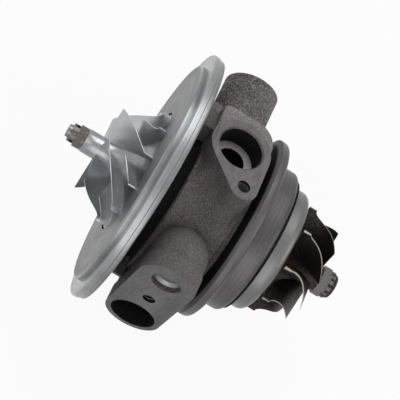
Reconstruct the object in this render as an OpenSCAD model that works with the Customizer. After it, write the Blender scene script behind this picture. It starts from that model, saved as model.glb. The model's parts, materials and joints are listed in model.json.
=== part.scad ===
// Turbocharger cartridge: bearing housing with its backplate, rotor, bearings and seals
// X runs along the shaft towards the compressor, Y towards the drain face, Z towards the coolant inlet
// The origin is on the shaft axis, in the plane of the backplate's seat face

/* [Backplate] */
// Radius of the backplate's outer ring
backplate_r = 52; // [50:0.5:56]
// Radius of the front spigot that enters the compressor cover
spigot_r = 46; // [43:0.5:48]
// Height of the front spigot
spigot_h = 2.2; // [1.6:0.1:3]
// Thickness of the outer ring
ring_h = 4.6; // [4:0.1:6]
// Depth of the recess behind the compressor wheel
recess_h = 1.6; // [1.3:0.1:1.9]
// Height of the pad that meets the bearing housing
pad_h = 1.8; // [1.2:0.1:3]
// Radius of the rear pilot that enters the bearing housing
pilot_r = 24; // [23:0.5:26]
// Length of the rear pilot
pilot_h = 3.3; // [3:0.1:4]

/* [Bearing housing] */
// Radius of the neck behind the backplate
neck_r = 29.5; // [28:0.5:30.5]
// Length of the neck behind the backplate
neck_h = 4.8; // [4:0.1:6]
// Radius of the lug on the neck
lug_r = 37.5; // [35:0.5:39]
// Angle at which the upper lug starts, from Y towards Z
lug_from = 106; // [100:1:112]
// Angle at which the upper lug ends
lug_to = 200; // [190:1:210]
// Angle at which the lower lug starts
low_lug_from = 286; // [270:1:300]
// Angle at which the lower lug ends
low_lug_to = 345; // [335:1:350]
// Radius of the cast barrel
barrel_r = 33; // [32:0.2:34]
// Length of the cast barrel with the clamp groove behind it
barrel_h = 25.1; // [24.5:0.1:27]
// Width of the clamp groove
groove_w = 2.2; // [1.8:0.1:2.6]
// Height of the cone on the turbine clamp flange
clamp_cone_h = 2.4; // [1.8:0.1:2.8]
// Radius of the turbine clamp flange
clamp_flange_r = 37.8; // [36:0.2:40]
// Width of the turbine clamp flange
clamp_flange_h = 6; // [5:0.1:7]
// Radius of the step behind the clamp flange
step_r = 29.8; // [29:0.1:31]
// Width of the step behind the clamp flange
step_h = 9; // [8:0.1:10]
// Radius of the nose inside the heat shield
nose_r = 24.2; // [23:0.1:25]
// Length of the nose inside the heat shield
nose_h = 6.1; // [5.6:0.1:6.4]

/* [Coolant inlet] */
// Distance of the three ports behind the front flange, along the shaft
port_back = 11.2; // [11:0.1:12]
// Height of the inlet face above the shaft axis
inlet_face = 41; // [38:0.5:44]
// Lean of the inlet away from the drain, in degrees
inlet_lean = 10; // [0:1:14]
// Radius of the inlet socket
inlet_r = 8.5; // [7.5:0.1:9]
// Depth of the inlet socket
inlet_depth = 9; // [7:0.5:11]
// Radius of the round end of the inlet boss
inlet_boss_r = 11.8; // [11:0.1:12]
// Radius of the small end of the inlet boss
ear_r = 5.5; // [5:0.1:6]
// Distance from the socket to the clamp screw hole
ear_reach = 16.4; // [15.5:0.1:18]
// Turn of the clamp screw hole towards the turbine, in degrees
ear_turn = 22; // [15:1:30]

/* [Drain flange] */
// Distance of the drain face from the shaft axis
drain_face = 45.6; // [43:0.2:48]
// Half width of the drain flange
drain_boss_r = 11; // [10.5:0.1:11.5]
// Radius of the oil drain
drain_r = 8.8; // [8:0.1:9.2]
// Offset of the oil drain below the shaft axis
drain_low = 13; // [11:0.5:15]
// Radius of the core hole and of the coolant outlet in the stub
outlet_r = 5.7; // [5:0.1:6.5]
// Offset of the core hole above the shaft axis
outlet_high = 22; // [20:0.5:23]
// Depth of the core plug below the drain face
plug_depth = 1.6; // [1:0.1:2.5]
// Radius of the tapped holes
tap_r = 2.5; // [2.1:0.1:2.8]
// Depth of the tapped holes
tap_depth = 11; // [8:0.5:12]

/* [Rear stub] */
// Radius of the cast stub
stub_r = 11; // [10:0.1:11.5]
// Distance of the stub's end from the shaft axis
stub_end = 52; // [48:0.5:55]
// Offset of the stub above the shaft axis
stub_high = 8; // [5:0.5:10]

/* [Rotor] */
// Radius of the bearing journals
journal_r = 3.5; // [3.3:0.05:3.7]
// Radius of the shaft through the compressor wheel
stem_r = 2.6; // [2.4:0.05:2.8]
// Radius of the compressor wheel at its exit
exit_r = 24.5; // [23.5:0.1:25]
// Radius of the compressor wheel at its inlet
inducer_r = 17.8; // [16.5:0.1:19]
// Length of the compressor blades
blade_h = 16.9; // [15:0.1:18]
// Width of the blades at the compressor exit
exit_h = 3.3; // [2.8:0.1:3.8]
// Radius of the compressor hub's nose
hub_r = 4.7; // [4.5:0.1:5.2]
// Length of the hub's nose in front of the blades
hub_nose_h = 6.3; // [4:0.1:8]
// Turn of the compressor blades from front to back, in degrees
blade_wrap = 66; // [50:1:72]
// Angle of the first compressor blade, from Y towards Z
blade_phase = 150; // [145:1:155]
// Number of full compressor blades, with as many splitters between them
blade_count = 6; // [5:1:7]
// Radius of the turbine wheel at its inlet
turbine_r = 22.8; // [21.5:0.1:23.5]
// Radius of the turbine wheel at its outlet
outlet_tip_r = 19.3; // [18:0.1:20]
// Length of the turbine blades
turbine_h = 16.4; // [15:0.1:18]
// Turn of the turbine blades from inlet to outlet, in degrees
turbine_wrap = 38; // [28:1:45]
// Angle of the first turbine blade, from Y towards Z
turbine_phase = 138; // [130:1:142]
// Number of turbine blades
turbine_count = 9; // [8:1:11]
// Width of the lock nut across its flats
nut_flats = 7.6; // [7:0.1:8.5]
// Height of the lock nut
nut_h = 5.8; // [4:0.1:6.5]

/* [Bearings and seals] */
// Outer radius of the floating bushes
bush_r = 6; // [5.6:0.1:6.3]
// Length of the floating bushes
bush_h = 8; // [7:0.1:8.5]
// Thickness of the thrust bearing
thrust_h = 2.6; // [2.2:0.1:3]
// Outer radius of the thrust bearing
thrust_r = 15.6; // [14.8:0.1:15.8]
// Thickness of the oil deflector sheet
deflector_h = 0.8; // [0.6:0.1:1]
// Thickness of the thrust washer
washer_h = 1.6; // [1.3:0.1:2]
// Radius of the seal sleeve behind the compressor wheel
sleeve_r = 6.9; // [6.6:0.1:7.2]
// Radius of the seal boss behind the turbine wheel
seal_boss_r = 7.4; // [7:0.1:7.6]
// Width of the split seal rings
seal_h = 1.5; // [1.2:0.1:1.7]
// Radial thickness of the split seal rings
seal_w = 1.1; // [0.9:0.05:1.2]
// Section radius of the backplate's sealing ring
cord_r = 0.85; // [0.7:0.05:0.9]
// Thickness of the heat shield sheet
shield_t = 1; // [0.8:0.1:1.2]
// Radius of the bend of the heat shield
shield_bend = 3; // [2.4:0.1:3.2]

/* [Hidden] */
$fn = 96;
cut = 1;
slip = 0.02;
run = 0.05;
ring_gap = 0.1;
face_gap = 0.4;
edge = 0.6;
soft_edge = 2;
to_deg = 180 / PI;

recess_x = -recess_h;
ring_x = -spigot_h;
web_x = ring_x - ring_h;
joint_x = web_x - pad_h;
pilot_x = joint_x - pilot_h;
thrust_x = pilot_x - deflector_h;
floor_x = thrust_x - thrust_h;
collar_x = thrust_x + ring_gap;
washer_x = floor_x - ring_gap;
shoulder_x = washer_x - washer_h;
barrel_x = joint_x - neck_h;
clamp_x = barrel_x - barrel_h;
groove_x = clamp_x + groove_w;
step_x = clamp_x - clamp_flange_h;
shield_seat_x = step_x - step_h;
nose_x = shield_seat_x - nose_h;
shield_x = nose_x - 1 - shield_t;
wheel_back_x = recess_x + 0.5;
wheel_rim_x = wheel_back_x + 0.7;
inducer_x = wheel_rim_x + blade_h;
nut_x = inducer_x + hub_nose_h;
shaft_end_x = nut_x + nut_h + 1.4;
turbine_x = shield_x - 0.7;
outlet_x = turbine_x - turbine_h;
turbine_end_x = outlet_x - 9;
port_x = barrel_x - port_back;

front_bush_x = shoulder_x - face_gap;
front_clip_x = front_bush_x - bush_h - ring_gap;
rear_stop_x = shield_seat_x + 1.2;
rear_bush_x = rear_stop_x + bush_h + face_gap;
rear_clip_x = rear_bush_x + ring_gap + clip_h();
seal_stop_x = shield_seat_x - 2.4;
seal_boss_x = seal_stop_x - 0.4;
turbine_seal_x = nose_x + 0.5 + seal_h;
sleeve_seal_x = web_x + 2.2;

bush_bore_r = bush_r + run;
clip_r = bush_r + 0.6;
clip_hole_r = journal_r + 1.1;
sleeve_bore_r = sleeve_r + 0.2;
seal_bore_r = seal_boss_r + 0.2;
washer_r = 6.8;
collar_r = 4.6;
flinger_r = 8.5;
flinger_h = 1.4;
pocket_r = pilot_r + 0.2;
screw_ring_r = 18.8;
screw_r = 2;
screw_head_r = 3.7;
screw_head_h = 1.7;
screw_length = 16;
screw_count = 4;
slot_w = 1.5;
pin_r = 1;
pin_ring_r = 13;
shield_wall_r = nose_r + 0.1;
inlet_core_r = 5.4;
hub_steps = 12;
blade_steps = 11;
span_steps = 5;
root_t = 0.9;
tip_t = 0.4;
root_sink = 0.6;
full_start = 0.02;
splitter_start = 0.4;
drain_pad_h = 7;
dome_h = 12;
turbine_disc_r = 13.5;
turbine_hub_r = 5.2;
turbine_tip_h = 3.9;
nose_hex_r = 5.9;

// Width of a bush circlip
function clip_h() = 1;

// Points [radius, x] of an arc in a turned profile
function arc(r, x, bend, from, to, steps = 5) =
    [for (i = [0 : steps]) let (a = from + (to - from) * i / steps) [r + bend * cos(a), x + bend * sin(a)]];

// A body of revolution about the shaft axis, from its points [radius, x], begun at the given angle
module turned(points, start = 0) rotate([start, 0, 0]) rotate([0, 90, 0]) rotate_extrude() polygon(points);

// A round bar on the shaft axis between two stations
module rod(r, x0, x1) translate([x0, 0, 0]) rotate([0, 90, 0]) cylinder(r = r, h = x1 - x0);

// A ring on the shaft axis between two stations
module band(r_in, r_out, x0, x1) turned([[r_in, x0], [r_out, x0], [r_out, x1], [r_in, x1]]);

// A split ring on the shaft axis, open by the given angle
module split_ring(r_in, r_out, x0, x1, open)
    rotate([0, 90, 0]) rotate([0, 0, open / 2]) rotate_extrude(angle = 360 - open)
        polygon([[r_in, x0], [r_out, x0], [r_out, x1], [r_in, x1]]);

// A bar across the shaft, along Y or against it
module across(r, x, z, y0, y1) translate([x, y0, z]) rotate([-90, 0, 0]) cylinder(r = r, h = y1 - y0);

// Places copies evenly round the shaft axis
module around(count, start = 0) for (i = [0 : count - 1]) rotate([start + i * 360 / count, 0, 0]) children();

// Points of a round end about a centre on the X axis
function round_end(x, r, from, to, steps) =
    [for (i = [0 : steps]) let (a = from + (to - from) * i / steps) [x + r * cos(a), r * sin(a)]];

// A boss of two round ends joined by their common tangents, the second end along +X
module link(r1, r2, reach, h) {
    lean = acos((r1 - r2) / reach);
    linear_extrude(h) polygon(concat(round_end(reach, r2, -lean, lean, 24), round_end(0, r1, lean, 360 - lean, 36)));
}

// Frame of the inlet face, with +Z out of the socket
module at_inlet() translate([port_x, 0, 0]) rotate([inlet_lean, 0, 0]) children();

// Frame of the inlet boss outline, with +X towards the clamp screw hole
module at_ear() at_inlet() rotate([0, 0, 90 + ear_turn]) children();

module inlet_boss() at_ear() translate([0, 0, barrel_r / 2])
    link(inlet_boss_r, ear_r, ear_reach, inlet_face - barrel_r / 2);

module inlet_holes() {
    at_inlet() translate([0, 0, inlet_face - inlet_depth]) cylinder(r = inlet_r, h = inlet_depth + cut);
    at_inlet() translate([0, 0, inlet_face - edge]) cylinder(r1 = inlet_r, r2 = inlet_r + edge + cut, h = edge + cut);
    at_inlet() translate([0, 0, inlet_face - 2 * inlet_depth]) cylinder(r = inlet_core_r, h = inlet_depth + cut);
    at_ear() translate([ear_reach, 0, inlet_face - tap_depth]) cylinder(r = tap_r, h = tap_depth + cut);
}

// Frame of the drain flange, with +Z out of the face and +X along its holes, from the drain to the outlet
module at_drain() translate([port_x, 0, -drain_low]) rotate([0, -90, -90]) children();

module drain_boss() {
    reach = drain_low + outlet_high;
    tube_r = drain_boss_r - edge;
    web_r = tube_r - edge;
    at_drain() {
        cylinder(r = tube_r, h = drain_face - edge);
        translate([0, 0, drain_face - drain_pad_h]) link(drain_boss_r, drain_boss_r, reach, drain_pad_h);
        translate([0, -web_r, 0]) cube([drain_low + barrel_r / 2, 2 * web_r, drain_face - edge]);
        translate([reach, 0, 0]) rotate_extrude() polygon(concat(
            [[0, drain_face - edge], [tube_r, drain_face - edge]],
            [for (i = [0 : 8]) [tube_r * cos(90 * i / 8), drain_face - dome_h - tube_r * sin(90 * i / 8)]]
        ));
    }
}

module drain_holes() {
    drain_depth = drain_face - bush_r - drain_boss_r;
    across(drain_r, port_x, -drain_low, drain_face - drain_depth, drain_face + cut);
    across(outlet_r, port_x, outlet_high, drain_face - drain_boss_r, drain_face + cut);
    across(tap_r, port_x, (outlet_high - drain_low) / 2, drain_face - tap_depth, drain_face + cut);
}

module rear_stub() difference() {
    across(stub_r, port_x, stub_high, -stub_end, 0);
    across(outlet_r, port_x, stub_high, -stub_end - cut, -stub_end + 2 * outlet_r);
}

module casting() turned(concat(
    [[0, joint_x], [neck_r, joint_x], [neck_r, barrel_x], [barrel_r - edge, barrel_x], [barrel_r, barrel_x - edge]],
    [[barrel_r, groove_x + edge], [barrel_r - edge, groove_x], [neck_r, groove_x], [neck_r, clamp_x]],
    [[clamp_flange_r, clamp_x - clamp_cone_h]],
    arc(clamp_flange_r - soft_edge, step_x + soft_edge, soft_edge, 0, -90),
    [[step_r, step_x]],
    arc(step_r - soft_edge, shield_seat_x + soft_edge, soft_edge, 0, -90),
    [[nose_r, shield_seat_x], [nose_r, shield_seat_x - nose_h / 2], [nose_r - nose_h / 2, nose_x], [0, nose_x]]
));

module neck_lug(from, to) rotate([from - 270, 0, 0]) rotate([0, 90, 0]) rotate_extrude(angle = to - from)
    polygon([
        [pilot_r + 2, barrel_x - cut], [lug_r, barrel_x - cut], [lug_r, joint_x - edge],
        [lug_r - edge, joint_x], [pilot_r + 2, joint_x]
    ]);

module core_bores() {
    rod(pocket_r, pilot_x - face_gap, joint_x + cut);
    rod(thrust_r + ring_gap, floor_x, joint_x);
    rod(washer_r + 1, shoulder_x - face_gap, floor_x + cut);
    rod(bush_bore_r, rear_stop_x, floor_x);
    rod(journal_r + face_gap, nose_x, rear_stop_x + cut);
    rod(seal_bore_r, nose_x - cut, seal_stop_x);
    for (x = [front_clip_x - clip_h(), rear_clip_x - clip_h()])
        rod(clip_r + run, x - ring_gap / 2, x + clip_h() + ring_gap / 2);
    around(screw_count, 45) translate([0, 0, screw_ring_r]) rod(screw_r + slip, recess_x - screw_length - cut, joint_x);
    around(2, 90) translate([0, 0, pin_ring_r]) rod(pin_r + slip, floor_x - 2 * pin_r, floor_x + cut);
}

module bearing_housing() color("dimgray") difference() {
    union() {
        casting();
        neck_lug(lug_from, lug_to);
        neck_lug(low_lug_from, low_lug_to);
        inlet_boss();
        drain_boss();
        rear_stub();
    }
    inlet_holes();
    drain_holes();
    core_bores();
}

module compressor_backplate() color("gainsboro") difference() {
    turned(concat(
        [[sleeve_bore_r, recess_x], [exit_r + 0.8, recess_x], [exit_r + 0.8, 0]],
        [[spigot_r - edge, 0], [spigot_r, -edge], [spigot_r, ring_x]],
        arc(backplate_r - edge, ring_x - edge, edge, 90, 0, 3),
        [[backplate_r, ring_x - ring_h / 2], [backplate_r - edge, ring_x - ring_h / 2 - edge / 2]],
        arc(backplate_r - 2 * edge, web_x + edge, edge, 0, -90, 3),
        [[neck_r + edge, web_x], [neck_r, joint_x], [pilot_r, joint_x]],
        [[pilot_r, sealing_x() + cord_r + run], [pilot_r - groove_h(), sealing_x() + cord_r + run]],
        [[pilot_r - groove_h(), sealing_x() - cord_r - run], [pilot_r, sealing_x() - cord_r - run]],
        [[pilot_r, pilot_x], [thrust_r - 3, pilot_x], [thrust_r - 3, joint_x], [sleeve_bore_r, joint_x]]
    ));
    around(screw_count, 45) translate([0, 0, screw_ring_r]) {
        rod(screw_r + 0.2, pilot_x - cut, recess_x + cut);
        countersink(screw_head_r + run);
    }
}

// Station of the backplate's sealing ring
function sealing_x() = (joint_x + pilot_x) / 2;

// Depth of the sealing ring's groove
function groove_h() = 2 * cord_r - 0.1;

// Cone of a screw head, sunk below the recess
module countersink(r) translate([recess_x - screw_head_h, 0, 0]) rotate([0, 90, 0])
    cylinder(r1 = screw_r, r2 = r, h = screw_head_h);

module backplate_seal_ring() color("black") rotate([0, 90, 0]) rotate_extrude()
    translate([pilot_r - groove_h() + cord_r + slip, sealing_x()]) circle(r = cord_r);

module backplate_screws() color("slategray") around(screw_count, 45) translate([0, 0, screw_ring_r]) difference() {
    union() {
        countersink(screw_head_r);
        rod(screw_r, recess_x - screw_length, recess_x - screw_head_h + slip);
    }
    translate([recess_x - screw_head_h / 2, 0, 0]) rotate([0, 90, 0])
        cylinder(r = screw_r * 0.7, h = screw_head_h, $fn = 6);
}

module heat_shield() color("darkgray") {
    outer_r = shield_wall_r + shield_t;
    hole_r = seal_boss_r + 0.8;
    turned(concat(
        [[shield_wall_r, shield_seat_x], [step_r - soft_edge, shield_seat_x], [step_r - soft_edge, shield_seat_x - shield_t]],
        arc(outer_r + edge, shield_seat_x - shield_t - edge, edge, 90, 180, 3),
        arc(outer_r - shield_bend, shield_x + shield_bend, shield_bend, 0, -90),
        [[hole_r, shield_x], [hole_r, shield_x + shield_t]],
        arc(outer_r - shield_bend, shield_x + shield_bend, shield_bend - shield_t, -90, 0)
    ));
}

module core_plug() color("darkgray") translate([port_x, drain_face - plug_depth, outlet_high]) rotate([-90, 0, 0])
    rotate_extrude() polygon([
        [0, -1.2], [outlet_r - 2, -1.2], [outlet_r - 1.2, -0.4], [outlet_r - 0.9, 0], [outlet_r - slip, 0],
        [outlet_r - slip, -4], [outlet_r - 1, -4], [outlet_r - 1.4, -2], [outlet_r - 2, -2.2], [0, -2.2]
    ]);

module rotor_shaft() color("lightsteelblue") difference() {
    turned([
        [0, shaft_end_x], [stem_r - edge / 2, shaft_end_x], [stem_r, shaft_end_x - edge / 2],
        [stem_r, shoulder_x], [journal_r, shoulder_x], [journal_r, seal_boss_x], [seal_boss_r, seal_boss_x],
        [seal_boss_r, turbine_seal_x + ring_gap], [seal_boss_r - seal_w - ring_gap, turbine_seal_x + ring_gap],
        [seal_boss_r - seal_w - ring_gap, turbine_seal_x - seal_h - ring_gap],
        [seal_boss_r, turbine_seal_x - seal_h - ring_gap], [seal_boss_r, turbine_x], [0, turbine_x]
    ]);
    translate([shaft_end_x - stem_r, 0, 0]) rotate([0, 90, 0])
        cylinder(r1 = 0.2, r2 = stem_r / 2, h = stem_r + slip);
}

// Closes a blade between two grids of points, each with a row for every step from front to back
module blade_skin(near, far) {
    rows = len(near) - 1;
    columns = len(near[0]) - 1;
    half = (rows + 1) * (columns + 1);
    points = concat([for (row = near) each row], [for (row = far) each row]);
    at = function (i, j) i * (columns + 1) + j;
    border = concat(
        [for (i = [0 : rows - 1]) at(i, 0)], [for (j = [0 : columns - 1]) at(rows, j)],
        [for (i = [rows : -1 : 1]) at(i, columns)], [for (j = [columns : -1 : 1]) at(0, j)]
    );
    cells = [for (i = [0 : rows - 1]) for (j = [0 : columns - 1]) [at(i, j), at(i + 1, j), at(i + 1, j + 1), at(i, j + 1)]];
    polyhedron(points, concat(
        [for (c = cells) each [[c[0], c[1], c[2]], [c[0], c[2], c[3]]]],
        [for (c = cells) each [[c[0] + half, c[2] + half, c[1] + half], [c[0] + half, c[3] + half, c[2] + half]]],
        [for (k = [0 : len(border) - 1]) let (a = border[k], b = border[(k + 1) % len(border)])
            each [[a, b + half, b], [a, a + half, b + half]]]
    ));
}

// A blade's point [x, y, z] from its place [radius, x], its turn and its half thickness
function blade_point(place, turn, half_t) = let (a = turn + half_t / place[0] * to_deg)
    [place[1], place[0] * cos(a), place[0] * sin(a)];

// Half thickness of a blade from its root to its tip
function half_thickness(span) = (root_t + (tip_t - root_t) * span) / 2;

// Compressor passage [radius, x] at the hub and at the shroud, from inlet to exit
function wheel_hub(m, sink = 0) = [
    hub_r - sink + (exit_r - hub_r + sink / 2) * (1 - cos(90 * m)),
    wheel_rim_x - sink / 2 + (inducer_x - wheel_rim_x + sink / 2) * (1 - sin(90 * m))
];
function wheel_shroud(m) = [
    inducer_r + (exit_r - root_sink / 2 - inducer_r) * (1 - cos(90 * m)),
    wheel_rim_x + exit_h + (blade_h - exit_h) * (1 - sin(90 * m))
];
function wheel_turn(m) = -blade_wrap * (1.75 * m - 0.75 * m * m);

module compressor_blade(start) {
    side = function (sign) [for (i = [0 : blade_steps]) let (m = start + (1 - start) * i / blade_steps)
        [for (j = [0 : span_steps]) let (s = j / span_steps, root = wheel_hub(m, root_sink))
            blade_point(root + s * (wheel_shroud(m) - root), wheel_turn(m), sign * half_thickness(s))]];
    blade_skin(side(1), side(-1));
}

module compressor_wheel() color("silver") difference() {
    union() {
        turned(concat(
            [[0, wheel_back_x], [exit_r, wheel_back_x], [exit_r, wheel_rim_x]],
            [for (i = [hub_steps - 1 : -1 : 0]) wheel_hub(i / hub_steps)],
            [[hub_r, nut_x - edge], [hub_r - edge, nut_x], [0, nut_x]]
        ), 15);
        around(blade_count, blade_phase) compressor_blade(full_start);
        around(blade_count, blade_phase - 180 / blade_count) compressor_blade(splitter_start);
    }
    rod(stem_r + slip, wheel_back_x - cut, nut_x + cut);
}

// Turbine passage [radius, x] at the hub and at the shroud, from inlet to outlet
function turbine_root(m) = [
    turbine_hub_r - root_sink + (turbine_r - turbine_hub_r + root_sink) * (1 - sin(90 * m)),
    turbine_x - 0.3 - (turbine_h - 0.3) * (1 - cos(90 * m))
];
function turbine_shroud(m) = [
    outlet_tip_r + (turbine_r - outlet_tip_r) * (1 - sin(90 * m)),
    turbine_x - turbine_tip_h - (turbine_h - turbine_tip_h - 2.6) * (1 - cos(90 * m))
];
function turbine_hub(m) = [
    turbine_hub_r + (turbine_disc_r - turbine_hub_r) * (1 - sin(90 * m)),
    turbine_x - 1.2 - (turbine_h - 1.2) * (1 - cos(90 * m))
];

module turbine_blade() {
    side = function (sign) [for (i = [0 : blade_steps]) let (m = i / blade_steps)
        [for (j = [0 : span_steps]) let (s = j / span_steps, root = turbine_root(m))
            blade_point(root + s * (turbine_shroud(m) - root), -turbine_wrap * pow(m, 2.4), sign * half_thickness(s))]];
    blade_skin(side(1), side(-1));
}

module turbine_wheel() color("dimgray") difference() {
    union() {
        turned(concat(
            [[0, turbine_x], [turbine_disc_r, turbine_x]],
            [for (i = [0 : hub_steps]) turbine_hub(i / hub_steps)],
            [[0, outlet_x]]
        ));
        rod(turbine_hub_r, turbine_end_x + 6, outlet_x + cut);
        translate([turbine_end_x, 0, 0]) rotate([0, 90, 0]) cylinder(r = nose_hex_r, h = 7, $fn = 6);
        around(turbine_count, turbine_phase) turbine_blade();
    }
    rod(turbine_hub_r / 3, turbine_end_x - cut, turbine_end_x + 2.5);
    around(6, 0) translate([turbine_end_x - cut, -1, turbine_hub_r * 0.7]) cube([2 + cut, 2, nose_hex_r]);
}

module lock_nut() color("rosybrown") difference() {
    crown_r = nut_flats / 2 - 0.1;
    union() {
        translate([nut_x, 0, 0]) rotate([0, 90, 0]) cylinder(d = nut_flats / cos(30), h = nut_h * 0.55, $fn = 6);
        rod(crown_r + 0.5, nut_x, nut_x + 1);
        rod(crown_r, nut_x + 1, nut_x + nut_h);
    }
    rod(stem_r + slip, nut_x - cut, nut_x + nut_h + cut);
    around(6, 30) translate([nut_x + nut_h * 0.62, -slot_w / 2, stem_r - slip])
        cube([nut_h * 0.24, slot_w, crown_r]);
}

// A floating bush with its oil holes and end chamfers
module bush(x) difference() {
    turned([
        [journal_r + 0.04, x - bush_h], [bush_r - edge / 2, x - bush_h], [bush_r, x - bush_h + edge / 2],
        [bush_r, x - edge / 2], [bush_r - edge / 2, x], [journal_r + 0.04, x]
    ]);
    around(6, 15) translate([x - bush_h / 2, 0, 0]) cylinder(r = 0.8, h = bush_r + cut);
}

module front_bush() color("goldenrod") bush(front_bush_x);

module rear_bush() color("goldenrod") bush(rear_bush_x);

module bush_circlips() color("gray") for (x = [front_clip_x, rear_clip_x])
    split_ring(clip_hole_r, clip_r, x - clip_h(), x, 50);

module thrust_bearing() color("peru") difference() {
    band(collar_r + 0.2, thrust_r, floor_x, thrust_x);
    around(2, 90) translate([0, 0, pin_ring_r]) rod(pin_r + run, floor_x - cut, thrust_x + cut);
    translate([floor_x - cut, flinger_r * 0.7, -thrust_r - cut]) cube([thrust_h + 2 * cut, thrust_r, thrust_r / 2]);
}

module thrust_pins() color("gray") around(2, 90) translate([0, 0, pin_ring_r]) rod(pin_r, floor_x - 2 * pin_r, thrust_x - 0.1);

module oil_deflector() color("gray") turned([
    [thrust_r, thrust_x], [thrust_r, pilot_x], [thrust_r - 3.4, pilot_x], [thrust_r - 4.4, pilot_x + 1],
    [flinger_r + 0.8, pilot_x + 1], [flinger_r + 0.8, pilot_x + 1 - deflector_h],
    [thrust_r - 4.4 - deflector_h / 2, pilot_x + 1 - deflector_h], [thrust_r - 3.4 - deflector_h / 2, thrust_x]
]);

module thrust_washer() color("lightgray") band(stem_r + slip, washer_r, shoulder_x, washer_x);

module thrust_collar() color("lightgray") band(stem_r + slip, collar_r, washer_x, collar_x);

module seal_sleeve() color("lightgray") turned([
    [stem_r + slip, collar_x], [flinger_r, collar_x], [flinger_r, collar_x + flinger_h], [sleeve_r, collar_x + flinger_h],
    [sleeve_r, sleeve_seal_x - seal_h - ring_gap], [sleeve_r - seal_w - ring_gap, sleeve_seal_x - seal_h - ring_gap],
    [sleeve_r - seal_w - ring_gap, sleeve_seal_x + ring_gap], [sleeve_r, sleeve_seal_x + ring_gap],
    [sleeve_r, wheel_back_x], [stem_r + slip, wheel_back_x]
]);

module compressor_seal_ring() color("darkslategray")
    split_ring(sleeve_bore_r - seal_w, sleeve_bore_r - slip, sleeve_seal_x - seal_h, sleeve_seal_x, 4);

module turbine_seal_ring() color("darkslategray")
    split_ring(seal_bore_r - seal_w, seal_bore_r - slip, turbine_seal_x - seal_h, turbine_seal_x, 4);

bearing_housing();
compressor_backplate();
backplate_seal_ring();
backplate_screws();
heat_shield();
core_plug();
rotor_shaft();
turbine_wheel();
compressor_wheel();
lock_nut();
front_bush();
rear_bush();
bush_circlips();
thrust_bearing();
thrust_pins();
oil_deflector();
thrust_washer();
thrust_collar();
seal_sleeve();
compressor_seal_ring();
turbine_seal_ring();
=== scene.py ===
import json
import math

import bmesh
import bpy
from bpy.props import FloatProperty, FloatVectorProperty, IntProperty, PointerProperty
from mathutils import Matrix, Vector


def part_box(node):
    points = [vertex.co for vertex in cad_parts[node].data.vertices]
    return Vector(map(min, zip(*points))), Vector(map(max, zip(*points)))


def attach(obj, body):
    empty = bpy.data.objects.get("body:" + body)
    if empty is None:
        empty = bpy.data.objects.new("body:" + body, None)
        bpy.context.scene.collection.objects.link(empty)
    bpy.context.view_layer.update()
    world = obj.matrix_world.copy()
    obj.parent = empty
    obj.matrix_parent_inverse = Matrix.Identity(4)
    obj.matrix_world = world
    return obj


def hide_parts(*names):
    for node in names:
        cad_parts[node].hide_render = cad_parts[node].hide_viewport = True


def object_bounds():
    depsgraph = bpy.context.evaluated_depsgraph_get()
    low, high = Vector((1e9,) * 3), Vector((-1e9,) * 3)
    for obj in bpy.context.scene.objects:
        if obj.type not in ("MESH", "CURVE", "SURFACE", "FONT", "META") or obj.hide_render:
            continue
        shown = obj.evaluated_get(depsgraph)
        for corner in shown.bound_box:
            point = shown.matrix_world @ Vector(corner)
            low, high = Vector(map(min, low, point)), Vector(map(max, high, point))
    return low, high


bl_info = {
    "name": "Turbocharger cartridge dressing",
    "version": (1, 0, 0),
    "blender": (4, 5, 0),
    "location": "3D View > Sidebar > Cartridge",
    "description": "Dresses the solids of a turbocharger cartridge with wheels, finishes and a stage",
    "category": "Object",
}

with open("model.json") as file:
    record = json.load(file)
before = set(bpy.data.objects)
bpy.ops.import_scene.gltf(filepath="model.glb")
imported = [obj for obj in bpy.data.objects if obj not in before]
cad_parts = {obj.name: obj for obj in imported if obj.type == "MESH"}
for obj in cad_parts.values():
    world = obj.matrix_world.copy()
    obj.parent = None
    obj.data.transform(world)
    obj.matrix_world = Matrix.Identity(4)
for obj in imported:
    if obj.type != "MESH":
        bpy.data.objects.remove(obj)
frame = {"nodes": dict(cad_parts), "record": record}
SOLID_BOX = [list(corner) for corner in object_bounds()]
MM = 0.001


def node_span(node):
    """Lowest and highest station of a node along the shaft, in millimetres."""
    low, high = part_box(node)
    return low[0] / MM, high[0] / MM


# Places on the housing, in millimetres; NEAR is the slack when a face is matched to one of them.
NEAR = 0.1
HOUSING_LOW, HOUSING_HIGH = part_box("bearing_housing")
MOUNTS = {mount["name"]: mount for mount in frame["record"]["mounts"]}
INLET = MOUNTS["inlet_port"]
INLET_AXIS = Vector(INLET["axis"])
INLET_R = INLET["dims"]["r_mm"] + NEAR
INLET_FACE = 41.0
SOCKET_LOW_Z = 20.0
DRAIN = MOUNTS["drain_port"]
DRAIN_Z = DRAIN["pos_m"][2] / MM
DRAIN_R = DRAIN["dims"]["r_mm"] + NEAR
DRAIN_BOSS_R = 9.8
DRAIN_BOSS_LENGTH = 30.0
PORT_X = INLET["pos_m"][0] / MM
FLANGE_LENGTH = 4.8
BARREL_LENGTH = 22.9
GROOVE_LENGTH = 2.2
BARREL_FRONT = HOUSING_HIGH.x / MM - FLANGE_LENGTH
BARREL_REAR = BARREL_FRONT - BARREL_LENGTH
GROOVE_REAR = BARREL_REAR - GROOVE_LENGTH
CLAMP_R = 38.0
CONE_LENGTH = 2.3
# The groove's cone is painted shade below this radius, and the painted shade fades out over CONE_FADE
CONE_SHADE_R = 34.8
CONE_FADE = 0.9
NECK_R = 30.0
FLAT_FACE_R = MOUNTS["compressor_spigot"]["dims"]["r_mm"] - 1
STUB_SKIN_Y = -20.0
# Width of the band of painted shade on the heat shield's rim
SEAT_SHADE_WIDTH = 1.1
SCREW_HOLES = ("inlet_screw", "drain_screw")
HOLE_CHAMFER = 0.5
HOLE_SLACK = 0.15
DRILL_POINT = 2.0

# Threads, in millimetres; the ridge's half width is a share of its pitch.
THREAD_DEPTH = 8.0
RIDGE_HEIGHT = 0.35
RIDGE_SINK = 0.1
RIDGE_HALF = 0.3

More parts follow.
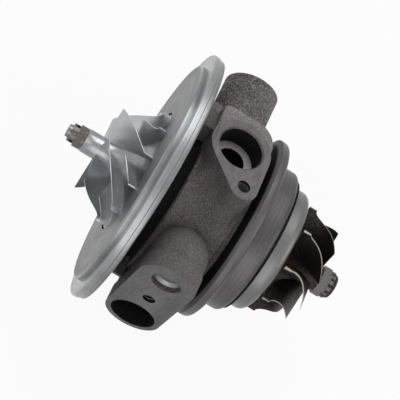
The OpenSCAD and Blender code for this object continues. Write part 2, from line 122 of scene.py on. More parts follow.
# Fillets and shoulder of the casting, in millimetres; places are from a port's axis or above the shaft.
WALK_STEP = 0.8
INLET_BLEND_R = 7.0
STUB_BLEND_R = 4.0
DRAIN_BLEND_R = 5.5
NO_FAR_SIDE = -40.0
DRAIN_FAR_SIDE = -11.0
BLEND_FADE = 6.0
BLEND_LEAST = 0.1
BLEND_SINK = 0.5
BLEND_TUCK = 0.4
SHOULDER_WALL = 1.6
SHOULDER_FAR = -18.5
SHOULDER_FOOT = 18.0
SHOULDER_TOP = 38.3
SHOULDER_EDGE = 1.2
SHOULDER_FRONT_R = 3.0
SHOULDER_REAR_R = 9.0

# Steps round an arc, in degrees, and the angle past which an edge is shaded sharp
ARC_STEP = 7.5
SHARP_EDGE = math.radians(50)

# Compressor wheel, in millimetres; the blades' roots lie below the hub's skin by WHEEL_ROOT (radius, x).
# A blade is BLADE_T thick at its root, thinner to its tip by BLADE_TAPER, with a flare at the hub.
# At its inlet edge it has the share BLADE_EDGE of that, and it reaches the rest by BLADE_GROWTH.
WHEEL_BACK, WHEEL_FRONT = node_span("compressor_wheel")
WHEEL_BORE_R = 2.62
WHEEL_PHASE = math.radians(137)
WHEEL_ROOT = (0.4, 0.3)
SPLITTER_START = 0.4
BLADE_T = 0.9
BLADE_TAPER = 0.5
BLADE_EDGE = 0.35
BLADE_GROWTH = 9
FLARE = 1.4
FLARE_SPAN = 0.16
FLARE_POWER = 1.4
RIM_EDGE = 0.15
HUB_EDGE = 0.5
HUB_STEPS = 40

# Turbine wheel, in millimetres; its blades thin towards their outlet edge.
# The spans of the nose are stations from its end.
TURBINE_END, TURBINE_BACK = node_span("turbine_wheel")
TURBINE_PHASE = math.radians(134)
TURBINE_ROOT = (0.6, 0.3)
TURBINE_INLET_W = 3.4
TURBINE_TRAIL = 1.0
TURBINE_SWEEP_POWER = 4.8
TURBINE_T = 1.1
TURBINE_TAPER = 0.45
TURBINE_EDGE = 0.55
TURBINE_GROWTH = 6
DISC_H = 1.2
DISC_EDGE = 0.3
CAP_R = 0.1
NOSE_HUB = 6.5
NOSE_CORE = 6.8
NOSE_INSET = 0.2
NOSE_ROUND = 1.2
HEXAGON = (3.4, 7)
TOOTH = (1.7, 3.6)
TOOTH_H = 1.2
TOOTH_HALF = 0.7
TOOTH_OFF = 1.35

# Finishes and stage; depths and places are in metres.
CUT_PITCH = 900.0
LINE_SWING = 0.06
GRAIN_SWING = 0.08
# Specular level of the painted shade, which keeps reflections off it
SHADE_SPECULAR = 0.08
LINE_DEPTH = 0.00004
GRAIN_DEPTH = 0.0006
FLOOR_GLOW = 0.92
FLOOR_HALF = 3
SKY_RANGE = (-0.2, 0.9)
SKY_LEVELS = (0.08, 0.42)
CAMERA_PLACE = (0.0677, 0.2952, 0.5165)
CAMERA_BACK = (0.156, 0.494, 0.855)
CAMERA_RIGHT = (-0.848, -0.378, 0.373)
LENS_MM = 144.0
SENSOR_MM = 36.0


def length(label, text, default):
    """A size in metres whose default is given in millimetres."""
    return FloatProperty(name=label, description=text, default=default * MM, unit="LENGTH", precision=4)


def angle(label, text, default):
    """An angle whose default is given in degrees."""
    return FloatProperty(name=label, description=text, default=math.radians(default), subtype="ANGLE")


def colour(label, text, default):
    return FloatVectorProperty(name=label, description=text, default=default,
                               subtype="COLOR", size=3, min=0, max=1)


class CartridgeSizes(bpy.types.PropertyGroup):
    barrel_r: length("Barrel radius", "Radius of the cast barrel", 33)
    inlet_boss_r: length("Inlet boss", "Radius of the round end of the inlet boss", 11.8)
    inlet_lean: angle("Inlet lean", "Lean of the inlet", 10)
    ear_r: length("Ear", "Radius of the small end of the inlet boss", 5.5)
    ear_reach: length("Ear reach", "Distance from the socket to the clamp screw hole", 16.4)
    ear_turn: angle("Ear turn", "Turn of the ear", 22)
    drain_low: length("Drain offset", "Offset of the drain below the shaft", 13)
    stub_r: length("Stub radius", "Radius of the cast stub", 11)
    stub_high: length("Stub offset", "Offset of the stub above the shaft", 8)
    exit_r: length("Exit radius", "Radius of the compressor wheel at its exit", 24.5)
    inducer_r: length("Inducer radius", "Radius of the compressor wheel at its inlet", 17.8)
    hub_r: length("Hub radius", "Radius of the compressor hub's nose", 4.7)
    rim_h: length("Rim", "Thickness of the compressor wheel's rim", 0.7)
    blade_h: length("Blade length", "Length of the compressor blades along the shaft", 16.9)
    exit_h: length("Exit width", "Width of the blades at the compressor exit", 3.3)
    wrap: angle("Wrap", "Turn of the compressor blades", 60)
    blades: IntProperty(name="Blades", description="Full compressor blades", default=6, min=3, max=12)
    turbine_r: length("Turbine radius", "Radius of the turbine wheel at its inlet", 22.8)
    outlet_r: length("Outlet radius", "Radius of the turbine blades at their outlet", 19.3)
    turbine_h: length("Turbine length", "Length of the turbine blades along the shaft", 16.4)
    turbine_hub_r: length("Turbine hub", "Radius of the turbine hub at its outlet", 5.2)
    disc_r: length("Turbine disc", "Radius of the turbine wheel's back disc", 13.5)
    nose_r: length("Turbine nose", "Radius of the turbine nose across its corners", 5.9)
    turbine_wrap: angle("Turbine wrap", "Turn of the turbine blades", 38)
    turbine_blades: IntProperty(name="Turbine blades", description="Blades of the turbine wheel",
                                default=9, min=6, max=14)


class CartridgeFinishes(bpy.types.PropertyGroup):
    cast: colour("Cast iron", "Skin of the sand-cast housing", (0.086, 0.08, 0.079))
    # Painted shade: near black for the neck, socket, holes, the groove's cone and the shield's seat, where
    # shade falls
    recess: colour("Dark recess", "Oil-dark neck, holes and groove", (0.008, 0.008, 0.008))
    machined: colour("Machined iron", "Cut faces of the housing", (0.09, 0.086, 0.089))
    turned: colour("Turned face", "Flat face of the backplate", (0.145, 0.147, 0.148))
    rim: colour("Turned rim", "Stepped ring round the backplate", (0.24, 0.248, 0.25))
    milled: colour("Milled aluminium", "Compressor blades", (0.45, 0.462, 0.472))
    hub: colour("Turned hub", "Hub of the compressor wheel", (0.26, 0.268, 0.272))
    # Painted highlight on the compressor blades' edges
    bright: colour("Bright edge", "Freshly cut blade edges", (0.52, 0.53, 0.54))
    sheet: colour("Shield sheet", "Pressed heat shield", (0.15, 0.149, 0.148))
    hot: colour("Hot alloy", "Oxidised turbine wheel", (0.024, 0.021, 0.019))
    nose: colour("Nose flats", "Flats on the turbine nose", (0.13, 0.12, 0.112))
    steel: colour("Ground steel", "Shaft and rotor sleeves", (0.17, 0.17, 0.172))
    plain: colour("Plain steel", "Clips, pins, screws and rings", (0.2, 0.205, 0.203))
    plated: colour("Plated nut", "Lock nut", (0.115, 0.105, 0.095))
    brass: colour("Bearing brass", "Floating bushes and thrust bearing", (0.6, 0.4, 0.15))
    rubber: colour("Rubber", "Sealing ring", (0.02, 0.02, 0.02))


class Graph:
    """Adds nodes to a shader tree and links them by socket name."""

    def __init__(self, tree):
        self.tree = tree

    def add(self, kind, values=None, **settings):
        node = self.tree.nodes.new(kind)
        for key, value in settings.items():
            setattr(node, key, value)
        for key, value in (values or {}).items():
            self.feed(node.inputs[key], value)
        return node

    def feed(self, socket, value):
        if isinstance(value, bpy.types.NodeSocket):
            self.tree.links.new(value, socket)
        else:
            socket.default_value = value

    def math(self, operation, a, b=0.0):
        return self.add("ShaderNodeMath", {0: a, 1: b}, operation=operation).outputs[0]

    def noise(self, place, scale, detail, roughness):
        return self.add("ShaderNodeTexNoise", {"Vector": place, "Scale": scale, "Detail": detail,
                                               "Roughness": roughness}).outputs[0]

    def blend(self, a, share_a, b, share_b):
        """Sum of two values, each times its share."""
        return self.math("ADD", self.math("MULTIPLY", a, share_a), self.math("MULTIPLY", b, share_b))

    def radius(self, place):
        """Distance of a place from the shaft axis."""
        flat = self.add("ShaderNodeVectorMath", {0: place, 1: (0, 1, 1)}, operation="MULTIPLY").outputs[0]
        return self.add("ShaderNodeVectorMath", {0: flat}, operation="LENGTH").outputs["Value"]

    def seen(self):
        """1 for rays from the camera, through glass or off a glossy face, else 0."""
        path = self.add("ShaderNodeLightPath").outputs
        direct = self.math("MAXIMUM", path["Is Camera Ray"], path["Is Transmission Ray"])
        return self.math("MAXIMUM", direct, path["Is Glossy Ray"])

    def ramp(self, value, low, high, out_low=0.0, out_high=1.0):
        return self.add("ShaderNodeMapRange", {"Value": value, "From Min": low, "From Max": high,
                                               "To Min": out_low, "To Max": out_high}).outputs[0]

    def mix(self, factor, a, b):
        node = self.add("ShaderNodeMix", data_type="RGBA")
        for socket, value in ((node.inputs[0], factor), (node.inputs[6], a), (node.inputs[7], b)):
            self.feed(socket, value)
        return node.outputs[2]


def new_group(name, inputs, outputs):
    """A shader node group of values; returns it, its graph, what it is given and what it puts out."""
    group = bpy.data.node_groups.new(name, "ShaderNodeTree")
    for label, default in inputs.items():
        socket = group.interface.new_socket(label, in_out="INPUT", socket_type="NodeSocketFloat")
        socket.default_value = default
    for label in outputs:
        group.interface.new_socket(label, in_out="OUTPUT", socket_type="NodeSocketFloat")
    graph = Graph(group)
    source = graph.add("NodeGroupInput")
    sink = graph.add("NodeGroupOutput")
    return group, graph, source.outputs, sink.inputs


def turned_lines_group():
    """Fine rings left by a lathe about the shaft axis, on faces and on rims."""
    group, g, given, out = new_group("Turned lines", {"Pitch": 2600.0}, ("Height", "Tone"))
    place = g.add("ShaderNodeTexCoord").outputs["Object"]
    along = g.add("ShaderNodeSeparateXYZ", {0: place}).outputs["X"]
    across = g.add("ShaderNodeCombineXYZ", {"X": along, "Y": g.radius(place)}).outputs[0]
    fine = g.noise(across, given["Pitch"], 3.0, 0.7)
    broad = g.noise(across, g.math("MULTIPLY", given["Pitch"], 0.13), 2.0, 0.5)
    blotch = g.noise(place, 55.0, 4.0, 0.6)
    lines = g.blend(fine, 0.55, broad, 0.45)
    g.feed(out["Height"], fine)
    g.feed(out["Tone"], g.blend(lines, 0.75, blotch, 0.25))
    return group


def cast_grain_group():
    """Grains and hollows of a sand-cast skin."""
    group, g, given, out = new_group("Cast grain", {"Grain": 900.0}, ("Height", "Tone", "Stain"))
    place = g.add("ShaderNodeTexCoord").outputs["Object"]
    sand = g.noise(place, given["Grain"], 2.0, 0.6)
    cell_scale = g.math("MULTIPLY", given["Grain"], 0.9)
    cells = g.add("ShaderNodeTexVoronoi", {"Vector": place, "Scale": cell_scale}).outputs["Distance"]
    patch = g.noise(place, 70.0, 5.0, 0.62)
    g.feed(out["Height"], g.blend(sand, 0.8, g.math("SUBTRACT", 1.0, cells), 0.35))
    g.feed(out["Tone"], g.ramp(sand, 0.42, 0.64))
    g.feed(out["Stain"], g.ramp(patch, 0.36, 0.66))
    return group


class Shop:
    """The shared node groups and the finished materials."""

    groups = {}
    materials = {}

    @classmethod
    def group(cls, graph, name, **values):
        """A use of a shared group in a material; returns what it puts out."""
        node = graph.add("ShaderNodeGroup")
        node.node_tree = cls.groups[name]
        for key, value in values.items():
            graph.feed(node.inputs[key.capitalize()], value)
        return node.outputs

    @classmethod
    def start(cls, name, metallic, specular=0.5):
        """A new material; returns its graph and the inputs of its Principled shader."""
        material = bpy.data.materials.new(name)
        material.use_nodes = True
        graph = Graph(material.node_tree)
        shader = material.node_tree.nodes["Principled BSDF"]
        shader.inputs["Metallic"].default_value = metallic
        shader.inputs["Specular IOR Level"].default_value = specular
        cls.materials[name] = material
        return graph, shader.inputs


def shade(tint, gain):
    return [value * gain for value in tint]


def rgba(tint, gain=1.0):
    return [min(1.0, value) for value in shade(tint, gain)] + [1.0]


def bump(graph, shader, height, strength, distance):
    node = graph.add("ShaderNodeBump", {"Height": height, "Strength": strength, "Distance": distance})
    graph.feed(shader["Normal"], node.outputs[0])


def lathe_lines(graph, pitch):
    """Height of the lathe lines, and their tone spread over 0 to 1."""
    lines = Shop.group(graph, "Turned lines", pitch=pitch)
    return lines["Height"], graph.ramp(lines["Tone"], 0.38, 0.62)


def turned_finish(name, tint, metallic, rough, pitch, spread, lift=0.25):
    """Metal from the lathe: rings that vary its tone, gloss and height."""
    graph, shader = Shop.start(name, metallic)
    height, tone = lathe_lines(graph, pitch)
    graph.feed(shader["Base Color"], graph.mix(tone, rgba(tint, 1 - spread), rgba(tint, 1 + spread)))
    graph.feed(shader["Roughness"], graph.ramp(tone, 0.0, 1.0, rough + LINE_SWING, rough - LINE_SWING))
    bump(graph, shader, height, lift, LINE_DEPTH)


def cone_finish(name, tint, dark):
    """Side of the clamp groove: cut metal at its rim, painted shade (near black) towards its floor."""
    graph, shader = Shop.start(name, 0.1)
    place = graph.add("ShaderNodeTexCoord").outputs["Object"]
    rim = graph.ramp(graph.radius(place), CONE_SHADE_R * MM, (CONE_SHADE_R + CONE_FADE) * MM)
    tone = lathe_lines(graph, CUT_PITCH)[1]
    cut = graph.mix(tone, rgba(tint, 1.6), rgba(tint, 3.2))
    # Painted shade: near black towards the groove's floor, fading to cut metal towards the rim
    graph.feed(shader["Base Color"], graph.mix(rim, rgba(dark), cut))
    graph.feed(shader["Specular IOR Level"], graph.ramp(rim, 0.0, 1.0, SHADE_SPECULAR, 0.5))
    graph.feed(shader["Roughness"], 0.6)


def cast_finish(name, tint, spread, rough, grain, lift, metallic=0.55, specular=0.5):
    """Rough cast metal with grain and stain."""
    graph, shader = Shop.start(name, metallic, specular)
    skin = Shop.group(graph, "Cast grain", grain=grain)
    warm = [tint[0] * 1.07, tint[1], tint[2] * 0.95]
    base = graph.mix(skin["Stain"], rgba(tint, 0.85 - spread), rgba(warm, 0.85 + spread * 0.6))
    grains = graph.math("MULTIPLY", skin["Tone"], 0.6)
    graph.feed(shader["Base Color"], graph.mix(grains, base, rgba(tint, 2.6)))
    gloss = graph.ramp(skin["Tone"], 0.0, 1.0, rough + GRAIN_SWING, rough - GRAIN_SWING)
    graph.feed(shader["Roughness"], gloss)
    bump(graph, shader, skin["Height"], lift, GRAIN_DEPTH)


class CARTRIDGE_OT_finishes(bpy.types.Operator):
    """Make the shared effects and the metal finishes"""
    bl_idname = "cartridge.finishes"
    bl_label = "Finishes"

    def execute(self, context):
        tints = context.scene.cartridge_finishes
        Shop.groups["Turned lines"] = turned_lines_group()
        Shop.groups["Cast grain"] = cast_grain_group()
        cast_finish("cast skin", tints.cast, 0.2, 0.56, 2400.0, 1.0)
        cast_finish("stub skin", shade(tints.cast, 1.25), 0.3, 0.6, 1250.0, 1.8)
        # Painted light: a lighter copy of the cast skin for the shoulder, where the overhead light falls
        cast_finish("shoulder painted light", shade(tints.cast, 1.5), 0.15, 0.55, 2200.0, 0.5)
        # Painted shade for the recesses, near black and with little reflection
        cast_finish("painted shade", tints.recess, 0.2, 0.8, 1700.0, 0.6, 0.0, SHADE_SPECULAR)
        cast_finish("hot alloy", tints.hot, 0.4, 0.5, 1500.0, 0.3, 0.8)
        cast_finish("rubber", tints.rubber, 0.1, 0.7, 2500.0, 0.1, 0.0)
        turned_finish("machined iron", tints.machined, 0.8, 0.42, CUT_PITCH, 0.34)
        # Painted highlight: a lighter copy of machined iron for the socket's ledge, which the socket walls
        # shade
        turned_finish("ledge painted highlight", shade(tints.machined, 4.5), 0.2, 0.5, CUT_PITCH, 0.3)
        # Cut cone with painted shade towards the groove's floor
        cone_finish("cut cone", tints.machined, tints.recess)
        # Painted shade: a darker copy of machined iron for the threads inside the tapped holes
        turned_finish("thread painted shade", shade(tints.machined, 0.5), 0.8, 0.35, 1800.0, 0.2)
        turned_finish("turned aluminium", tints.turned, 0.95, 0.42, 1500.0, 0.12)
        turned_finish("turned rim", tints.rim, 0.95, 0.32, 1100.0, 0.42)
        turned_finish("milled aluminium", tints.milled, 0.95, 0.4, 500.0, 0.05, 0.05)
        turned_finish("turned hub", tints.hub, 0.95, 0.26, 700.0, 0.2, 0.08)
        # Painted highlight on the compressor blades' edges
        turned_finish("blade edge highlight", tints.bright, 1.0, 0.3, 1500.0, 0.04, 0.1)
        turned_finish("shield sheet", tints.sheet, 0.95, 0.38, 900.0, 0.1, 0.15)
        # Painted highlight on the turbine blades' edges, a brighter copy of the hot alloy
        turned_finish("turbine edge highlight", shade(tints.hot, 11), 0.9, 0.4, 1500.0, 0.2, 0.1)
        turned_finish("nose flats", tints.nose, 0.9, 0.4, 1800.0, 0.16)
        turned_finish("ground steel", tints.steel, 1.0, 0.25, 3200.0, 0.08)
        turned_finish("plain steel", tints.plain, 0.95, 0.42, 2000.0, 0.12)
        turned_finish("plated nut", tints.plated, 0.9, 0.38, 1800.0, 0.16)
        turned_finish("bearing brass", tints.brass, 1.0, 0.3, 2600.0, 0.12)
        return {"FINISHED"}


def wear(obj, *names):
    """Puts the named finishes in an object's material slots."""
    obj.data.materials.clear()
    for name in names:
        obj.data.materials.append(Shop.materials[name])


# The housing's finishes; one is painted shade for its recesses and one a painted highlight for the socket's
# ledge
HOUSING_FINISHES = ("cast skin", "machined iron", "painted shade", "stub skin", "cut cone", "ledge painted highlight")
CAST, CUT, PAINTED_SHADE, STUB, CONE, LEDGE_HIGHLIGHT = range(len(HOUSING_FINISHES))


def in_tapped_hole(centre):
    """True for a face inside one of the two tapped holes, down to the point the drill left."""
    for name in SCREW_HOLES:
        mount = MOUNTS[name]
        axis, off = Vector(mount["axis"]), centre - Vector(mount["pos_m"]) / MM
        high = off.dot(axis)
        if high < HOLE_CHAMFER and (off - axis * high).length < mount["dims"]["r_mm"] + HOLE_SLACK:
            return -mount["dims"]["length_mm"] - DRILL_POINT < high
    return False


def housing_finish(centre, normal):
    """Number of the finish on a face of the housing, from its centre in millimetres and its normal."""
    x, y, z = centre
    off_axis = math.hypot(y, z)
    behind_groove = x < GROOVE_REAR and off_axis < CLAMP_R
    drain = y > HOUSING_HIGH.y / MM - NEAR
    stub_end = y < HOUSING_LOW.y / MM + NEAR
    inlet = INLET_AXIS.dot(centre) > INLET_FACE - NEAR
    from_inlet = (centre - INLET_AXIS * INLET_AXIS.dot(centre) - Vector((PORT_X, 0, 0))).length
    in_socket = from_inlet < INLET_R and z > SOCKET_LOW_Z
    ledge = in_socket and abs(INLET_AXIS.dot(normal)) > 0.5
    in_drain = math.hypot(x - PORT_X, z - DRAIN_Z) < DRAIN_R and y > 0
    in_neck = x > BARREL_FRONT - NEAR and off_axis < NECK_R
    # Painted shade, near black, on the neck, the socket and drain walls and the tapped holes, where shade
    # falls
    if (in_socket and not ledge) or (in_drain and not drain) or in_neck or in_tapped_hole(centre):
        return PAINTED_SHADE
    # The groove's cone: cut metal with painted shade towards its floor
    if behind_groove and x > GROOVE_REAR - CONE_LENGTH:
        return CONE
    if behind_groove or drain or stub_end or inlet:
        return CUT
    # The socket's ledge takes a lighter copy of machined iron: painted highlight where the socket walls shade
    # it
    if ledge:
        return LEDGE_HIGHLIGHT
    return STUB if y < STUB_SKIN_Y else CAST


class CARTRIDGE_OT_housing(bpy.types.Operator):
    """Finish the cast bearing housing, with its cut faces"""
    bl_idname = "cartridge.housing"
    bl_label = "Bearing housing"

    def execute(self, context):
        housing = frame["nodes"]["bearing_housing"]
        wear(housing, *HOUSING_FINISHES)
        for face in housing.data.polygons:
            face.material_index = housing_finish(face.center / MM, face.normal)
        return {"FINISHED"}


class CARTRIDGE_OT_backplate(bpy.types.Operator):
    """Finish the backplate's flat face and its stepped ring"""
    bl_idname = "cartridge.backplate"
    bl_label = "Backplate"

    def execute(self, context):
        plate = frame["nodes"]["compressor_backplate"]
        wear(plate, "turned aluminium", "turned rim")
        for face in plate.data.polygons:
            off_axis = math.hypot(face.center.y, face.center.z) / MM
            on_face = off_axis < FLAT_FACE_R and face.normal.x > 0.9
            face.material_index = int(not on_face)
        return {"FINISHED"}


class CARTRIDGE_OT_fittings(bpy.types.Operator):
    """Finish the heat shield, bearings, seals and fasteners"""
    bl_idname = "cartridge.fittings"
    bl_label = "Fittings"

    def execute(self, context):
        finishes = {
            "ground steel": ["rotor_shaft", "thrust_washer", "thrust_collar", "seal_sleeve"],
            "plain steel": ["core_plug", "backplate_screws", "bush_circlips", "thrust_pins", "oil_deflector",
                            "compressor_seal_ring", "turbine_seal_ring"],
            "plated nut": ["lock_nut"],
            "bearing brass": ["front_bush", "rear_bush", "thrust_bearing"],
            "rubber": ["backplate_seal_ring"],
        }
        for finish, nodes in finishes.items():
            for name in nodes:
                wear(frame["nodes"][name], finish)
        self.paint_seat_shade(frame["nodes"]["heat_shield"])
        return {"FINISHED"}

    def paint_seat_shade(self, shield):
        """Painted shade on the rim of the shield, where it sits in the gap behind the housing's step."""
        wear(shield, "shield sheet", "painted shade")
        seat_x = node_span("heat_shield")[1]
        rim_r = max(math.hypot(point.co.y, point.co.z) for point in shield.data.vertices)
        for face in shield.data.polygons:
            at_rim = math.hypot(face.center.y, face.center.z) > rim_r - NEAR * MM
            face.material_index = int(at_rim and face.center.x / MM > seat_x - SEAT_SHADE_WIDTH)


SKIN, EDGE, ACCENT = range(3)


class Shape:
    """Collects points and faces of one mesh, with a finish number for each face."""

    def __init__(self):
        self.points = []
        self.faces = []
        self.finish = []
        self.flat = []

    def add(self, points, faces, finish=SKIN, flat=False):
        start = len(self.points)
        self.points += points
        for face in faces:
            self.faces.append([start + i for i in face])
            self.finish.append(finish)
            self.flat.append(flat)

    def revolve(self, profile, finish=SKIN, segments=144, bored=False):
        """A turned body about the shaft axis from points (radius, x), with capped ends or a bore."""
        rows = len(profile)
        starts = [(k * rows, (k + 1) % segments * rows) for k in range(segments)]
        points = [(x, r * math.cos(a), r * math.sin(a)) for k in range(segments)
                  for a in [2 * math.pi * k / segments] for r, x in profile]
        faces = [(here + i, here + i + 1, there + i + 1, there + i)
                 for here, there in starts for i in range(rows - 1)]
        if bored:
            faces += [(here + rows - 1, here, there, there + rows - 1) for here, there in starts]
        else:
            faces += [tuple(here + i for here, there in starts) for i in (0, rows - 1)]
        self.add(points, faces, finish)

    def prism(self, outline, x0, x1, finish):
        """A straight bar along the shaft from an outline of points (y, z)."""
        n = len(outline)
        points = [(x, y, z) for x in (x0, x1) for y, z in outline]
        faces = [(i, (i + 1) % n, n + (i + 1) % n, n + i) for i in range(n)]
        faces += [tuple(range(n - 1, -1, -1)), tuple(range(n, 2 * n))]
        self.add(points, faces, finish, True)

    def blade(self, place, turn, thick, start, phase, rows=44, columns=12):
        """A twisted blade whose edges have their own finish.

        m runs from 0 at the wheel's inlet to 1 at its exit, and s from 0 at the hub to 1 at the tip.
        place(m, s) gives (radius, x), turn(m) the angle and thick(s, along) the thickness, where along
        runs from 0 to 1 over the blade's own length.
        """
        sides = []
        for sign in (1, -1):
            grid = []
            for i in range(rows + 1):
                m = start + (1 - start) * i / rows
                for j in range(columns + 1):
                    r, x = place(m, j / columns)
                    a = phase + turn(m) + sign * thick(j / columns, i / rows) / 2 / r
                    grid.append((x, r * math.cos(a), r * math.sin(a)))
            sides.append(grid)
        n = columns + 1
        half = (rows + 1) * n
        cells = [(i * n + j, (i + 1) * n + j, (i + 1) * n + j + 1, i * n + j + 1)
                 for i in range(rows) for j in range(columns)]
        faces = cells + [tuple(half + k for k in reversed(cell)) for cell in cells]
        self.add(sides[0] + sides[1], faces)
        top = [i * n + columns for i in range(rows + 1)]
        front = list(range(n))
        back = [rows * n + j for j in range(n)]
        root = [i * n for i in range(rows + 1)]
        for strip in (top, front, back, root):
            near = [sides[0][k] for k in strip]
            far = [sides[1][k] for k in strip]
            count = len(strip)
            self.add(near + far, [(k, k + 1, count + k + 1, count + k) for k in range(count - 1)], EDGE)

    def coil(self, place, axis, radius, depth, pitch=1.0, steps=24):
        """A thread's ridge that winds down a hole from a place in millimetres against the hole's axis."""
        side = axis.orthogonal().normalized()
        other = axis.cross(side)
        count = int(depth / pitch * steps)
        foot_r, half = radius + RIDGE_SINK, RIDGE_HALF * pitch
        points = []
        for k in range(count + 1):
            a = 2 * math.pi * k / steps
            out = side * math.cos(a) + other * math.sin(a)
            sink = place - axis * (pitch * k / steps)
            points += [tuple(sink + out * r + axis * rise) for r, rise in
                       ((foot_r, half), (radius - RIDGE_HEIGHT, 0.0), (foot_r, -half))]
        faces = [(3 * k + i, 3 * k + (i + 1) % 3, 3 * k + 3 + (i + 1) % 3, 3 * k + 3 + i)
                 for k in range(count) for i in range(3)]
        faces += [(2, 1, 0), (3 * count, 3 * count + 1, 3 * count + 2)]
        self.add(points, faces)

    @staticmethod
    def close(mesh):
        """Joins the edges that meet and turns every face outwards."""
        work = bmesh.new()
        work.from_mesh(mesh)
        bmesh.ops.remove_doubles(work, verts=work.verts, dist=1e-6)
        bmesh.ops.recalc_face_normals(work, faces=work.faces)
        work.to_mesh(mesh)
        work.free()

    def build(self, name, body, node, finishes):
        """Makes the mesh object, which rides on a body and stands for a node if one is named."""
        mesh = bpy.data.meshes.new(name)
        mesh.from_pydata([[value * MM for value in point] for point in self.points], [], self.faces)
        mesh.update()
        obj = bpy.data.objects.new(name, mesh)
        bpy.context.scene.collection.objects.link(obj)
        wear(obj, *finishes)
        for face, finish, flat in zip(mesh.polygons, self.finish, self.flat):
            face.material_index = finish
            face.use_smooth = not flat
        self.close(mesh)
        mesh.set_sharp_from_angle(angle=SHARP_EDGE)
        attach(obj, body)
        if node:
            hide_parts(node)


def link_walk(r1, r2, reach, turn):
    """Points and outward normals (x, y, nx, ny) round a boss of two round ends, the second turned from +X."""
    lean = math.acos((r1 - r2) / reach)
    walk = []

    def put(cx, r, a):
        walk.append((cx + r * math.cos(a), r * math.sin(a), math.cos(a), math.sin(a)))

    def end(cx, r, start, stop):
        count = max(6, int(abs(stop - start) * r / WALK_STEP))
        for i in range(count + 1):
            put(cx, r, start + (stop - start) * i / count)

    def side(a, sign):
        count = int(reach / WALK_STEP)
        for i in range(1, count):
            t = i / count if sign > 0 else 1 - i / count
            put(reach * (1 - t), r2 + (r1 - r2) * t, a)

    end(reach, r2, -lean, lean)
    side(lean, 1)
    end(0, r1, lean, 2 * math.pi - lean)
    side(-lean, -1)
    c, s = math.cos(turn), math.sin(turn)
    return [(x * c - y * s, x * s + y * c, nx * c - ny * s, nx * s + ny * c) for x, y, nx, ny in walk]


def round_walk(cy, r, count=90):
    """Points and outward normals round a circle."""
    angles = [2 * math.pi * k / count for k in range(count)]
    return [(r * math.cos(a), cy + r * math.sin(a), math.cos(a), math.sin(a)) for a in angles]


def quarter(steps):
    """Angles of a quarter turn in equal steps."""
    return [math.radians(90 * i / steps) for i in range(steps + 1)]


def lean_over(x, y, high, lean):
    """A place on a boss, from its plan and its height above the shaft, turned about the shaft."""
    return (x + PORT_X, y * math.cos(lean) - high * math.sin(lean),
            y * math.sin(lean) + high * math.cos(lean))


